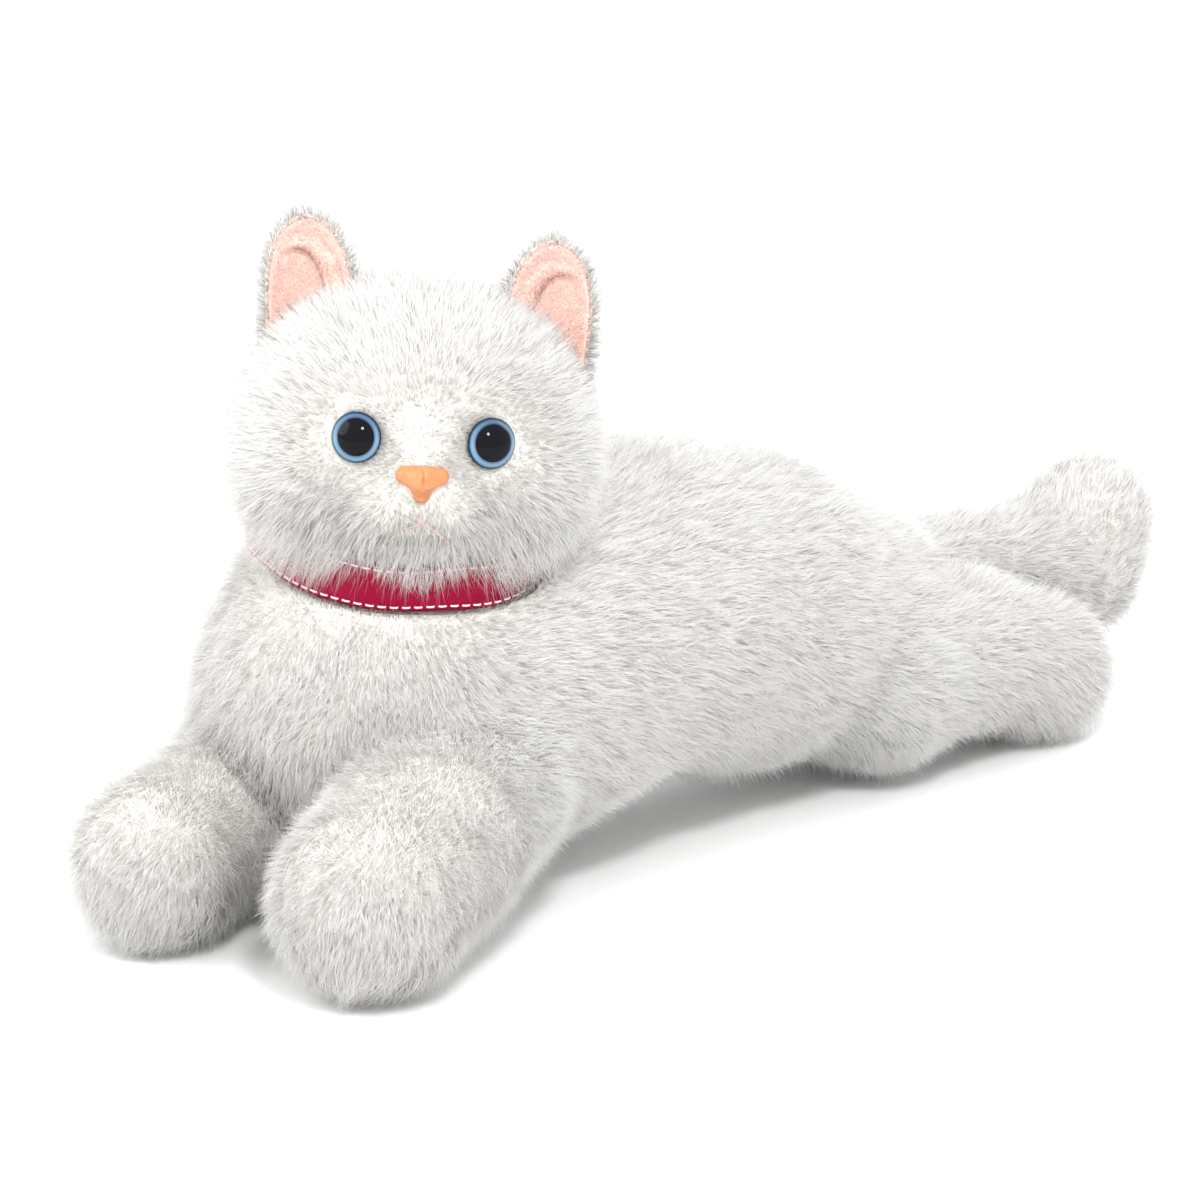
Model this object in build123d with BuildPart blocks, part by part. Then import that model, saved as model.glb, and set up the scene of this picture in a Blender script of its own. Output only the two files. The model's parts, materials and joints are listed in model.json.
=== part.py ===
from build123d import *
from math import asin, cos, degrees, radians, sin, sqrt
import os

# Plush cat lying on its belly, in millimetres.
# +Z up, the body runs back along +Y, the cat's left is +X.
# Dimensions are measured from the floor under the chest; the pieces are written with the origin
# at the middle of the cat's outline on the floor.
# Fabric is modelled as backing plus pile, so a cover's outer face is the middle of the fur.

os.makedirs("parts", exist_ok=True)

# ---- driving dimensions -------------------------------------------------------------------
OUTLINE_MIDDLE = Vector(17.5, 95.9, 0)

COVER = 6.0          # thickness of the fur fabric, backing and pile together
STUFFING_GAP = 0.6   # between a cover and the stuffing inside it
SEAM_GAP = 0.2       # between two panels that are sewn edge to edge
SOCKET_GAP = 1.5     # between a limb and the hollow of the body it nests in

# spine: centre line of the torso from breastbone to rump, and its radius at both ends and halfway
SPINE = [Vector(1, -50, 60), Vector(4, 6, 61), Vector(20, 80, 68), Vector(28, 140, 57), Vector(31, 216, 44)]
SPINE_RADII = (51.0, 51.5, 36.0)
BELLY_SEAM_HEIGHT = 25.0

PELLET_BAG = Vector(24, 112, 52)
PELLET_BAG_RADIUS = 20.0

HEAD_CENTRE = Vector(5, 4, 142)
HEAD_HALF_WIDTH = 55.5     # ear to ear
HEAD_RADIUS = 45.0         # of the round section seen from the side
HEAD_YAW = 46.0            # degrees, face turned towards the cat's left
HEAD_PITCH = 8.0           # face tipped up
HEAD_ROLL = 4.0            # crown tipped towards the cat's left
HEAD_TURN_LIMIT = 30.0
NECK_LEAN = 18.0           # neck axis ahead of the head's own upright

NECK_RADIUS = 44.5
NECK_TOP = -33.0           # heights along the neck axis are measured from the head's centre
NECK_FOOT = -72.0
HEAD_SEAT_GAP = 2.0
NECK_PLUG_RADIUS = 35.0
NECK_PLUG_TOP = -49.0
NECK_PLUG_FOOT = -68.0

RIBBON_TOP = -27.0
RIBBON_WIDTH = 13.0
RIBBON_INNER_RADIUS = 46.0
RIBBON_THICKNESS = 0.8
RIBBON_GROOVE_RADIUS = 50.0
STITCH_RADIUS = 0.25
STITCH_MARGIN = 1.4

# foot of each ear's middle line, across from the head's middle: the ears are sewn on unevenly
EAR_ROOTS = {"left": 36.6, "right": -29.2}
EAR_ROOT_HEIGHT = 20.0     # of that foot above the head's centre
EAR_SPLAY = 6.0            # degrees, tips outwards
EAR_WIDTH = 31.0
EAR_HEIGHT = 41.0
EAR_TIP_RADIUS = 9.5
EAR_TIP_SPAN = 130         # degrees of the tip's round
EAR_THICKNESS = 3.6
EAR_LINING_THICKNESS = 1.4
EAR_RIM = 3.5              # of fur left standing around the lining
EAR_CUP_RADIUS = 24.0
EAR_GAP = 3.0              # between the ear's foot and the head, so that the ear can fold

EYE_HALF_SPACING = 20.0
EYE_HEIGHT = 2.6
EYE_RADIUS = 7.5
PUPIL_RADIUS = 5.4
SHANK_RADIUS = 2.2
SHANK_LENGTH = 12.0
SHANK_GAP = 0.1
WASHER_RADIUS = 6.5
WASHER_THICKNESS = 1.2
WASHER_DEPTH = 7.2         # its near face, below the middle of the fur
BUTTON_SEAT_RADIUS = 8.6   # the dent that a button presses into the fabric
BUTTON_SINK = 2.6
BUTTON_RISE = 8.0
EYE_BASE_THICKNESS = 0.8
IRIS_THICKNESS = 0.5
PRINT_GAP = 0.05
LENS_HEIGHT = 4.2

NOSE_WIDTH = 15.6
NOSE_DEPTH = 11.5
NOSE_HEIGHT = -10.5
NOSE_THICKNESS = 4.6
NOSE_CORNER = 2.4
NOSE_ROUNDING = 1.0

THREAD_RADIUS = 0.45

# limb: (pivot in the body, centre of the paw, radius at the pivot, radius of the paw)
LEGS = {
    "left_front_leg": (Vector(44, -14, 41), Vector(61, -72, 28.5), 29.0, 30.0),
    "right_front_leg": (Vector(-27, -18, 38.5), Vector(-13, -84, 27.5), 29.0, 29.0),
    "left_hind_leg": (Vector(54, 168, 33), Vector(66, 238, 23.5), 28.0, 25.0),
    "right_hind_leg": (Vector(-14, 178, 33), Vector(-18, 250, 22.5), 26.0, 24.0),
}
# hinge axis and swing of each leg: front legs lift, hind legs spread sideways
FRONT_LEG_LIFT = 16.0
HIND_LEG_SPREAD = 20.0
LEG_SWING = {
    "left_front_leg": (Vector(-1, 0, 0), FRONT_LEG_LIFT),
    "right_front_leg": (Vector(-1, 0, 0), FRONT_LEG_LIFT),
    "left_hind_leg": (Vector(0, 0, -1), HIND_LEG_SPREAD),
    "right_hind_leg": (Vector(0, 0, 1), HIND_LEG_SPREAD),
}

# bone: centre line of the tail from its root, buried in the rump, to its turned-up tip
BONE = [Vector(30, 188, 61), Vector(34, 230, 58), Vector(41, 266, 50), Vector(46, 284, 62), Vector(47, 286, 82)]
BONE_RADII = (13.0, 16.0, 21.0)
TAIL_HINGE = Vector(30.7, 200.4, 64.4)
TAIL_LIFT = 25.0
TAIL_ROOM_END = Vector(34, 232, 62)
TAIL_ROOM_RADIUS = 14.2

END_ANGLES = (15.0, 35.0, 60.0)   # where a rounded end is cut into sections
MIDDLE_SECTIONS = 6

# ---- shapes used more than once -----------------------------------------------------------
def upright_plane(start, end):
    """The vertical plane through two points, with its X axis running from start to end."""
    along = (end - start).normalized()
    side = along.cross(Vector(0, 0, 1)).normalized()
    return Plane(origin=start, x_dir=along, z_dir=side)


def tapered_bar(start, end, start_radius, end_radius):
    """Two balls and the cone tangent to both, as one solid of revolution."""
    length = (end - start).length
    tangent_angle = 90 - degrees(asin((start_radius - end_radius) / length))
    plane = upright_plane(start, end)
    with BuildPart() as bar:
        with BuildSketch(plane):
            with BuildLine():
                first = CenterArc((0, 0), start_radius, 180, tangent_angle - 180)
                last = CenterArc((length, 0), end_radius, tangent_angle, -tangent_angle)
                Line(first @ 1, last @ 0)
                Line(last @ 1, first @ 0)
            make_face()
        revolve(axis=Axis(start, plane.x_dir))
    return bar.part


def quadratic(values, t):
    """The parabola through three values at 0, 1/2 and 1."""
    start, middle, end = values
    return start * (1 - t) * (1 - 2 * t) + middle * 4 * t * (1 - t) + end * t * (2 * t - 1)


def soft_tube(points, radii, inset):
    """A round-ended tube along a curve, its radius changing smoothly from end to end."""
    curve = Spline(*points)
    first_radius = radii[0] - inset
    last_radius = radii[2] - inset
    start = inset
    end = curve.length - inset
    stations = []
    for angle in END_ANGLES:
        setback = 1 - cos(radians(angle))
        stations.append((start + first_radius * setback, sin(radians(angle))))
        stations.append((end - last_radius * setback, sin(radians(angle))))
    straight_start = start + first_radius
    straight = end - last_radius - straight_start
    for step in range(MIDDLE_SECTIONS):
        stations.append((straight_start + straight * step / (MIDDLE_SECTIONS - 1), 1.0))
    with BuildPart() as tube:
        for distance, fullness in sorted(stations):
            t = distance / curve.length
            section = Plane(origin=curve @ t, x_dir=(1, 0, 0), z_dir=curve % t)
            with BuildSketch(section):
                Circle((quadratic(radii, t) - inset) * fullness)
        loft()
    return tube.part


def spheroid(plane, half_width, radius):
    """A ball stretched along the plane's X axis."""
    with BuildPart() as ball:
        Sphere(radius)
        scale(by=(half_width / radius, 1, 1))
    return plane.location * ball.part


def flat_footed(shape):
    """Whatever stands above the floor."""
    with BuildPart() as footed:
        add(shape)
        split(bisect_by=Plane.XY, keep=Keep.TOP)
    return footed.part


def swing_room(start, end, start_radius, end_radius, axis, swing):
    """A bar that widens towards its far end, so that it holds a limb anywhere in its swing."""
    halfway = start + (end - start).rotate(Axis((0, 0, 0), axis), swing / 2)
    reach = (end - start).length * sin(radians(swing / 2))
    return tapered_bar(start, halfway, start_radius, end_radius + reach)


def half(shape, plane, side):
    """One side of a seam, held back from it by half the seam gap."""
    keep = Keep.TOP if side > 0 else Keep.BOTTOM
    with BuildPart() as panel:
        add(shape)
        split(bisect_by=plane.offset(side * SEAM_GAP / 2), keep=keep)
    return panel.part


def hollow(outside, inside):
    """A closed bag: one solid with another taken out of it."""
    with BuildPart() as bag:
        add(outside)
        add(inside, mode=Mode.SUBTRACT)
    return bag.part


def write(part, name):
    placed = part.moved(Location(OUTLINE_MIDDLE * -1))
    placed.label = name
    export_step(placed, "parts/" + name + ".step")


# ---- frames of the head -------------------------------------------------------------------
yaw = radians(HEAD_YAW)
pitch = radians(HEAD_PITCH)
roll = radians(HEAD_ROLL)
face_level = Vector(sin(yaw), -cos(yaw), 0)
side_level = Vector(cos(yaw), sin(yaw), 0)
face_dir = face_level * cos(pitch) + Vector(0, 0, sin(pitch))
crown_level = side_level.cross(face_dir) * -1
side_dir = side_level * cos(roll) - crown_level * sin(roll)
crown_dir = crown_level * cos(roll) + side_level * sin(roll)
lean = radians(NECK_LEAN)
neck_dir = crown_dir * cos(lean) + face_dir * sin(lean)

# looking at the face from its left side: X to the cat's left, Y out of the crown
head_plane = Plane(origin=HEAD_CENTRE, x_dir=side_dir, z_dir=face_dir)
neck_plane = Plane(origin=HEAD_CENTRE, x_dir=side_dir, z_dir=neck_dir)


def face_plane(across, up, sink=0.0):
    """A plane touching the head over a point of its face, Z outwards."""
    section = HEAD_RADIUS * sqrt(1 - (across / HEAD_HALF_WIDTH) ** 2)
    forward = sqrt(section ** 2 - up ** 2)
    normal = Vector(across / HEAD_HALF_WIDTH ** 2, up / HEAD_RADIUS ** 2, forward / HEAD_RADIUS ** 2)
    outward = side_dir * normal.X + crown_dir * normal.Y + face_dir * normal.Z
    point = HEAD_CENTRE + side_dir * across + crown_dir * up + face_dir * forward
    touching = Plane(origin=point, x_dir=side_dir, z_dir=outward)
    return touching.offset(-sink)


# ---- torso: hollow cover of three panels, stuffing, pellet bag ------------------------------
def torso_body(inset):
    """Chest, loin and rump as one rounded form with the neck on it, pulled in by the inset."""
    with BuildPart() as body:
        add(soft_tube(SPINE, SPINE_RADII, inset))
        with BuildSketch(neck_plane.offset(NECK_FOOT)):
            Circle(NECK_RADIUS - inset)
        extrude(amount=NECK_TOP - NECK_FOOT - inset)
    return body.part


def leg_shape(name, inset):
    pivot, paw, pivot_radius, paw_radius = LEGS[name]
    return tapered_bar(pivot, paw, pivot_radius - inset, paw_radius - inset)


def limb_room(grow):
    """All the room that the legs and the tail need in the torso."""
    rooms = []
    for name, (axis, swing) in LEG_SWING.items():
        pivot, paw, pivot_radius, paw_radius = LEGS[name]
        rooms.append(swing_room(pivot, paw, pivot_radius + grow, paw_radius + grow, axis, swing))
    tail_axis = Vector(1, 0, 0)
    radius = TAIL_ROOM_RADIUS + grow
    rooms.append(swing_room(TAIL_HINGE, TAIL_ROOM_END, radius, radius, tail_axis, TAIL_LIFT))
    return rooms


def head_room(grow):
    """The round space in which the head turns and nods."""
    turning_plane = Plane(origin=HEAD_CENTRE, x_dir=neck_dir, z_dir=side_dir)
    return spheroid(turning_plane, HEAD_RADIUS + grow, HEAD_HALF_WIDTH + grow)


def collar_groove(grow):
    with BuildPart() as groove:
        with BuildSketch(neck_plane.offset(RIBBON_TOP - RIBBON_WIDTH - SOCKET_GAP - grow)):
            Circle(RIBBON_GROOVE_RADIUS + grow)
            Circle(NECK_RADIUS - grow, mode=Mode.SUBTRACT)
        extrude(amount=HEAD_HALF_WIDTH)
    return groove.part


def neck_bore(grow):
    with BuildPart() as bore:
        with BuildSketch(neck_plane.offset(NECK_PLUG_FOOT - SOCKET_GAP - grow)):
            Circle(NECK_PLUG_RADIUS + SOCKET_GAP + grow)
        extrude(amount=HEAD_RADIUS)
    return bore.part


def torso_room(wall):
    """Everything that is taken out of the torso, with a wall of fabric left around it."""
    cuts = limb_room(SOCKET_GAP + wall)
    cuts.append(head_room(HEAD_SEAT_GAP + wall))
    cuts.append(collar_groove(wall))
    cuts.append(neck_bore(wall))
    return cuts


def torso_shape(inset):
    """The torso with all its hollows, pulled in by the inset."""
    with BuildPart() as torso:
        add(torso_body(inset))
        for room in torso_room(inset):
            add(room, mode=Mode.SUBTRACT)
    return torso.part


torso_outside = torso_shape(0)
torso_inside = torso_shape(COVER)
torso_stuffing = torso_shape(COVER + STUFFING_GAP)

torso_cover = hollow(torso_outside, torso_inside)
belly_plane = Plane.XY.offset(BELLY_SEAM_HEIGHT)
spine_plane = upright_plane(SPINE[1], SPINE[-1])
upper_cover = half(torso_cover, belly_plane, 1)
write(half(torso_cover, belly_plane, -1), "torso_belly_panel")
write(half(upper_cover, spine_plane, 1), "torso_left_panel")
write(half(upper_cover, spine_plane, -1), "torso_right_panel")

with BuildPart() as pellet_bag:
    with Locations(PELLET_BAG):
        Sphere(PELLET_BAG_RADIUS)
write(pellet_bag.part, "torso_pellet_bag")

with BuildPart() as pellet_pocket:
    with Locations(PELLET_BAG):
        Sphere(PELLET_BAG_RADIUS + STUFFING_GAP)
write(hollow(torso_stuffing, pellet_pocket.part), "torso_stuffing")

# the stuffed plug that carries the head in the open neck
with BuildPart() as neck_plug:
    with BuildSketch(neck_plane.offset(NECK_PLUG_FOOT)):
        Circle(NECK_PLUG_RADIUS)
    extrude(amount=NECK_PLUG_TOP - NECK_PLUG_FOOT)
write(neck_plug.part, "neck_stuffing")


# ---- head: face and back panels over stuffing -----------------------------------------------
left_eye_plane = face_plane(EYE_HALF_SPACING, EYE_HEIGHT)
right_eye_plane = face_plane(-EYE_HALF_SPACING, EYE_HEIGHT)
nose_plane = face_plane(0, NOSE_HEIGHT)
button_planes = {"left_eye": left_eye_plane, "right_eye": right_eye_plane, "nose": nose_plane}

with BuildPart() as head_cover:
    add(spheroid(head_plane, HEAD_HALF_WIDTH, HEAD_RADIUS))
    add(spheroid(head_plane, HEAD_HALF_WIDTH - COVER, HEAD_RADIUS - COVER), mode=Mode.SUBTRACT)
    for button_plane in button_planes.values():
        with BuildSketch(button_plane.offset(BUTTON_RISE)):
            Circle(BUTTON_SEAT_RADIUS)
        extrude(amount=-BUTTON_RISE - BUTTON_SINK, mode=Mode.SUBTRACT)
        with BuildSketch(button_plane):
            Circle(SHANK_RADIUS + SHANK_GAP)
        extrude(amount=-SHANK_LENGTH, mode=Mode.SUBTRACT)

ear_seam = Plane(origin=HEAD_CENTRE, x_dir=side_dir, z_dir=face_dir)
write(half(head_cover.part, ear_seam, 1), "head_face_panel")
head_back = half(head_cover.part, ear_seam, -1)
crown_seam = Plane(origin=HEAD_CENTRE, x_dir=face_dir, z_dir=side_dir)
write(half(head_back, crown_seam, 1), "head_back_left_panel")
write(half(head_back, crown_seam, -1), "head_back_right_panel")

with BuildPart() as head_stuffing:
    inset = COVER + STUFFING_GAP
    add(spheroid(head_plane, HEAD_HALF_WIDTH - inset, HEAD_RADIUS - inset))
    for button_plane in button_planes.values():
        with BuildSketch(button_plane):
            Circle(WASHER_RADIUS + STUFFING_GAP)
        extrude(amount=-SHANK_LENGTH - STUFFING_GAP, mode=Mode.SUBTRACT)
write(head_stuffing.part, "head_stuffing")


# ---- safety eyes, nose button and their lock washers ----------------------------------------
def eye(side, plane):
    """Black base with shank and pupil boss, iris ring around the boss, clear dome over both."""
    base_plane = plane.offset(-BUTTON_SINK + STUFFING_GAP)
    with BuildPart() as base:
        with BuildSketch(base_plane):
            Circle(EYE_RADIUS)
        extrude(amount=EYE_BASE_THICKNESS)
        with BuildSketch(base_plane.offset(EYE_BASE_THICKNESS)):
            Circle(PUPIL_RADIUS)
        extrude(amount=IRIS_THICKNESS)
        with BuildSketch(base_plane):
            Circle(SHANK_RADIUS)
        extrude(amount=-SHANK_LENGTH + BUTTON_SINK)
    write(base.part, side + "_eye_pupil_base")

    iris_plane = base_plane.offset(EYE_BASE_THICKNESS)
    with BuildPart() as iris:
        with BuildSketch(iris_plane):
            Circle(EYE_RADIUS)
            Circle(PUPIL_RADIUS + PRINT_GAP, mode=Mode.SUBTRACT)
        extrude(amount=IRIS_THICKNESS)
    write(iris.part, side + "_eye_iris")

    lens_plane = iris_plane.offset(IRIS_THICKNESS + PRINT_GAP)
    dome_radius = (EYE_RADIUS ** 2 + LENS_HEIGHT ** 2) / (2 * LENS_HEIGHT)
    profile_plane = Plane(origin=lens_plane.origin, x_dir=lens_plane.x_dir, z_dir=lens_plane.y_dir * -1)
    with BuildPart() as lens:
        with BuildSketch(profile_plane):
            with BuildLine():
                Line((0, 0), (EYE_RADIUS, 0))
                RadiusArc((EYE_RADIUS, 0), (0, LENS_HEIGHT), -dome_radius)
                Line((0, LENS_HEIGHT), (0, 0))
            make_face()
        revolve(axis=Axis(lens_plane.origin, lens_plane.z_dir))
    write(lens.part, side + "_eye_lens")
    write(lock_washer(plane), side + "_eye_washer")


def lock_washer(plane):
    with BuildPart() as washer:
        with BuildSketch(plane.offset(-WASHER_DEPTH)):
            Circle(WASHER_RADIUS)
            Circle(SHANK_RADIUS + SHANK_GAP, mode=Mode.SUBTRACT)
        extrude(amount=-WASHER_THICKNESS)
    return washer.part


eye("left", left_eye_plane)
eye("right", right_eye_plane)

# rounded triangle, point down, with a groove from its middle to the point
nose_back = nose_plane.offset(-BUTTON_SINK + STUFFING_GAP)
with BuildPart() as nose:
    with BuildSketch(nose_back):
        with BuildLine():
            Polyline(
                (-NOSE_WIDTH / 2, NOSE_DEPTH / 2),
                (NOSE_WIDTH / 2, NOSE_DEPTH / 2),
                (0, -NOSE_DEPTH / 2),
                close=True,
            )
        make_face()
        fillet(vertices().sort_by(Axis.Y)[-2:], radius=NOSE_CORNER)
        fillet(vertices().sort_by(Axis.Y)[:1], radius=NOSE_CORNER / 2)
    extrude(amount=NOSE_THICKNESS)
    fillet(faces().sort_by(Axis(nose_back.origin, nose_back.z_dir))[-1].edges(), radius=NOSE_ROUNDING)
    with BuildSketch(nose_back):
        Circle(SHANK_RADIUS)
    extrude(amount=-SHANK_LENGTH + BUTTON_SINK)
write(nose.part, "nose_button")
write(lock_washer(nose_plane), "nose_washer")


# ---- mouth: three lines of thread laid on the fur ---------------------------------------------
def mouth_point(across, up):
    return face_plane(across, up).offset(THREAD_RADIUS + STUFFING_GAP).origin


def thread(*places):
    path = Spline(*[mouth_point(across, up) for across, up in places])
    with BuildPart() as line:
        with BuildSketch(Plane(origin=path @ 0, z_dir=path % 0)):
            Circle(THREAD_RADIUS)
        sweep(path=path)
    return line.part


lip = NOSE_HEIGHT - NOSE_DEPTH / 2
with BuildPart() as mouth:
    add(thread((0, lip - 1), (0, lip - 3), (0, lip - 5)))
    add(thread((1.2, lip - 6), (6, lip - 8.5), (11, lip - 12)))
    add(thread((-1.2, lip - 6), (-6, lip - 8.5), (-11, lip - 12)))
write(mouth.part, "mouth_stitching")


# ---- ears: a cupped outer and a pink lining ----------------------------------------------------
def ear_blade(plane, wall_inside, wall_thickness, width, height):
    """A rounded triangle cut from a tube wall, its hollow side facing forward."""
    with BuildPart() as blade:
        with BuildSketch(plane):
            with Locations((0, EAR_CUP_RADIUS)):
                Circle(wall_inside + wall_thickness)
                Circle(wall_inside, mode=Mode.SUBTRACT)
        extrude(amount=height)
        with BuildSketch(Plane(origin=plane.origin, x_dir=plane.x_dir, z_dir=plane.y_dir * -1)):
            with BuildLine():
                base = Line((-width / 2, 0), (width / 2, 0))
                tip_start = 90 - EAR_TIP_SPAN / 2
                tip = CenterArc((0, height - EAR_TIP_RADIUS), EAR_TIP_RADIUS, tip_start, EAR_TIP_SPAN)
                ThreePointArc(base @ 1, (width / 2 - 1.5, height * 0.45), tip @ 0)
                ThreePointArc(tip @ 1, (-width / 2 + 1.5, height * 0.45), base @ 0)
            make_face()
        extrude(amount=EAR_CUP_RADIUS, both=True, mode=Mode.INTERSECT)
        add(spheroid(head_plane, HEAD_HALF_WIDTH + EAR_GAP, HEAD_RADIUS + EAR_GAP), mode=Mode.SUBTRACT)
    return blade.part


def ear(side):
    root = HEAD_CENTRE + side_dir * EAR_ROOTS[side] + crown_dir * EAR_ROOT_HEIGHT
    outward = side_dir if EAR_ROOTS[side] > 0 else side_dir * -1
    height_dir = crown_dir * cos(radians(EAR_SPLAY)) + outward * sin(radians(EAR_SPLAY))
    across_dir = height_dir.cross(face_dir)
    plane = Plane(origin=root, x_dir=across_dir * -1, z_dir=height_dir)
    write(ear_blade(plane, EAR_CUP_RADIUS, EAR_THICKNESS, EAR_WIDTH, EAR_HEIGHT), side + "_ear_back")
    lining_inside = EAR_CUP_RADIUS - EAR_LINING_THICKNESS - SEAM_GAP
    lining_width = EAR_WIDTH - 2 * EAR_RIM
    lining_height = EAR_HEIGHT - EAR_RIM
    write(ear_blade(plane, lining_inside, EAR_LINING_THICKNESS, lining_width, lining_height), side + "_ear_lining")


ear("left")
ear("right")


# ---- collar: ribbon round the neck and its two lines of edge stitching ------------------------
with BuildPart() as ribbon:
    with BuildSketch(neck_plane.offset(RIBBON_TOP - RIBBON_WIDTH)):
        Circle(RIBBON_INNER_RADIUS + RIBBON_THICKNESS)
        Circle(RIBBON_INNER_RADIUS, mode=Mode.SUBTRACT)
    extrude(amount=RIBBON_WIDTH)
write(ribbon.part, "collar_ribbon")

stitch_line_radius = RIBBON_INNER_RADIUS + RIBBON_THICKNESS + 2 * STITCH_RADIUS
with BuildPart() as edge_stitching:
    for height in (RIBBON_TOP - STITCH_MARGIN, RIBBON_TOP - RIBBON_WIDTH + STITCH_MARGIN):
        line_plane = neck_plane.offset(height)
        with BuildSketch(Plane(origin=line_plane.origin, x_dir=line_plane.x_dir, z_dir=line_plane.y_dir)):
            with Locations((stitch_line_radius, 0)):
                Circle(STITCH_RADIUS)
        revolve(axis=Axis(line_plane.origin, neck_dir))
write(edge_stitching.part, "collar_edge_stitching")


# ---- legs: two fur panels over stuffing, flat where they rest on the floor --------------------
def leg(name):
    pivot, paw, pivot_radius, paw_radius = LEGS[name]
    cover = hollow(flat_footed(leg_shape(name, 0)), leg_shape(name, COVER))
    seam = upright_plane(pivot, paw)
    outward = 1 if name.startswith("left") else -1
    outer_side = outward if seam.z_dir.X > 0 else -outward
    write(half(cover, seam, outer_side), name + "_outer_panel")
    write(half(cover, seam, -outer_side), name + "_inner_panel")
    write(leg_shape(name, COVER + STUFFING_GAP), name + "_stuffing")


for leg_name in LEGS:
    leg(leg_name)


# ---- tail ---------------------------------------------------------------------------------
tail_cover = hollow(soft_tube(BONE, BONE_RADII, 0), soft_tube(BONE, BONE_RADII, COVER))
tail_seam = upright_plane(BONE[0], BONE[-1])
write(half(tail_cover, tail_seam, 1), "tail_left_panel")
write(half(tail_cover, tail_seam, -1), "tail_right_panel")
write(soft_tube(BONE, BONE_RADII, COVER + STUFFING_GAP), "tail_stuffing")
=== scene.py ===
import json
import math

import bpy
import numpy as np
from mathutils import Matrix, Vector


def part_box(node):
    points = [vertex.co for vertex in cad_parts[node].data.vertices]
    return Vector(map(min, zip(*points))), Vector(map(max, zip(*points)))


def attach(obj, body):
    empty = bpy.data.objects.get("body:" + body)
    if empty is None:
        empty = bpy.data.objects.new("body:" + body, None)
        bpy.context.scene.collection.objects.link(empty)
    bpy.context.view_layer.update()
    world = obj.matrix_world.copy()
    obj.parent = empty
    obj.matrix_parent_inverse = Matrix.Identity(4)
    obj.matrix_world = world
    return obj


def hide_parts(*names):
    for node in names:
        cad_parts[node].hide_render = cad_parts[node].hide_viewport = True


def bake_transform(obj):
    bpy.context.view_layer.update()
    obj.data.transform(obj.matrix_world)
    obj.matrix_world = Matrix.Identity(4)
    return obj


# Plush cat.  The soft skins and the nose are sculpted from smoothly joined rounded forms, the fur is
# planted on the skins fibre by fibre, the eyes are lathed, and ribbon and threads are swept along
# curves.  Everything is in metres, in the frame of the CAD model.

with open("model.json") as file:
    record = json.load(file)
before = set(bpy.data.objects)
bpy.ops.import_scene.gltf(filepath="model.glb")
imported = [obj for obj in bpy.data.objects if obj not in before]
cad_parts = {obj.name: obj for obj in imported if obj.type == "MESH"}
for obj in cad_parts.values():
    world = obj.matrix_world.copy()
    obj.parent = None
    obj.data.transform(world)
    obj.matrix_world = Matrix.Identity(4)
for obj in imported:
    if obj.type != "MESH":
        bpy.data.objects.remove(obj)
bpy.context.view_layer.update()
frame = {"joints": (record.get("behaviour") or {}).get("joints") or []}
joints = {joint["name"]: joint for joint in frame["joints"]}

MM = 0.001
SEED = 20
DENSITY = 1.0      # share of the fur that is planted while trying things


# ---- places taken from the frame -----------------------------------------------------------
def unit(v):
    v = np.asarray(v, float)
    return v / np.linalg.norm(v)


def centre(node):
    low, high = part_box(node)
    return np.array((low + high) / 2)


NECK_LEAN = math.radians(18)                # of the neck ahead of the head's own upright

head_centre = np.array(joints["head_turn"]["pos_m"], float)
neck_dir = unit(joints["head_turn"]["axis"])
side_dir = unit(joints["head_nod"]["axis"])
forward_of_neck = unit(np.cross(neck_dir, side_dir) * -1)
face_dir = unit(forward_of_neck * math.cos(NECK_LEAN) + neck_dir * math.sin(NECK_LEAN))
crown_dir = unit(neck_dir * math.cos(NECK_LEAN) - forward_of_neck * math.sin(NECK_LEAN))
if face_dir @ (centre("nose_button") - head_centre) < 0:
    raise ValueError("the head's frame is turned round")
head_axes = np.array([side_dir, crown_dir, face_dir])


def on_head(across, up, forward):
    """A point of the head given in millimetres to its left, up and out of its face."""
    return head_centre + (np.array([across, up, forward]) * MM) @ head_axes


# ---- soft forms ------------------------------------------------------------------------------
def bar(points, start, end, start_radius, end_radius):
    """Signed distance to a straight limb whose radius changes evenly along it."""
    along = end - start
    t = np.clip((points - start) @ along / (along @ along), 0, 1)
    nearest = start + t[:, None] * along
    return np.linalg.norm(points - nearest, axis=1) - (start_radius + (end_radius - start_radius) * t)


def ball(points, middle, radius, axes=None, stretch=(1, 1, 1)):
    """Signed distance, near enough, to a ball that is stretched along three directions."""
    offset = points - middle
    if axes is not None:
        offset = offset @ axes.T
    offset = offset / np.asarray(stretch, float)
    return (np.linalg.norm(offset, axis=1) - radius) * min(stretch)


def join(a, b, softness):
    """Two forms run together with a soft fillet."""
    h = np.clip(0.5 + 0.5 * (b - a) / softness, 0, 1)
    return b + (a - b) * h - softness * h * (1 - h)


def dent(a, b, softness):
    """The second form pressed into the first."""
    return -join(-a, b, softness)


def chain(points, stations, softness):
    """Limbs through a list of (place, radius), softly joined."""
    shape = None
    for (start, start_radius), (end, end_radius) in zip(stations, stations[1:]):
        piece = bar(points, start, end, start_radius, end_radius)
        shape = piece if shape is None else join(shape, piece, softness)
    return shape


def slope(form, points, step=0.3 * MM):
    """Outward direction of a form at each point."""
    gradient = np.empty_like(points)
    for axis in range(3):
        shift = np.zeros(3)
        shift[axis] = step
        gradient[:, axis] = form(points + shift) - form(points - shift)
    return gradient / np.maximum(np.linalg.norm(gradient, axis=1, keepdims=True), 1e-12)


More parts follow.
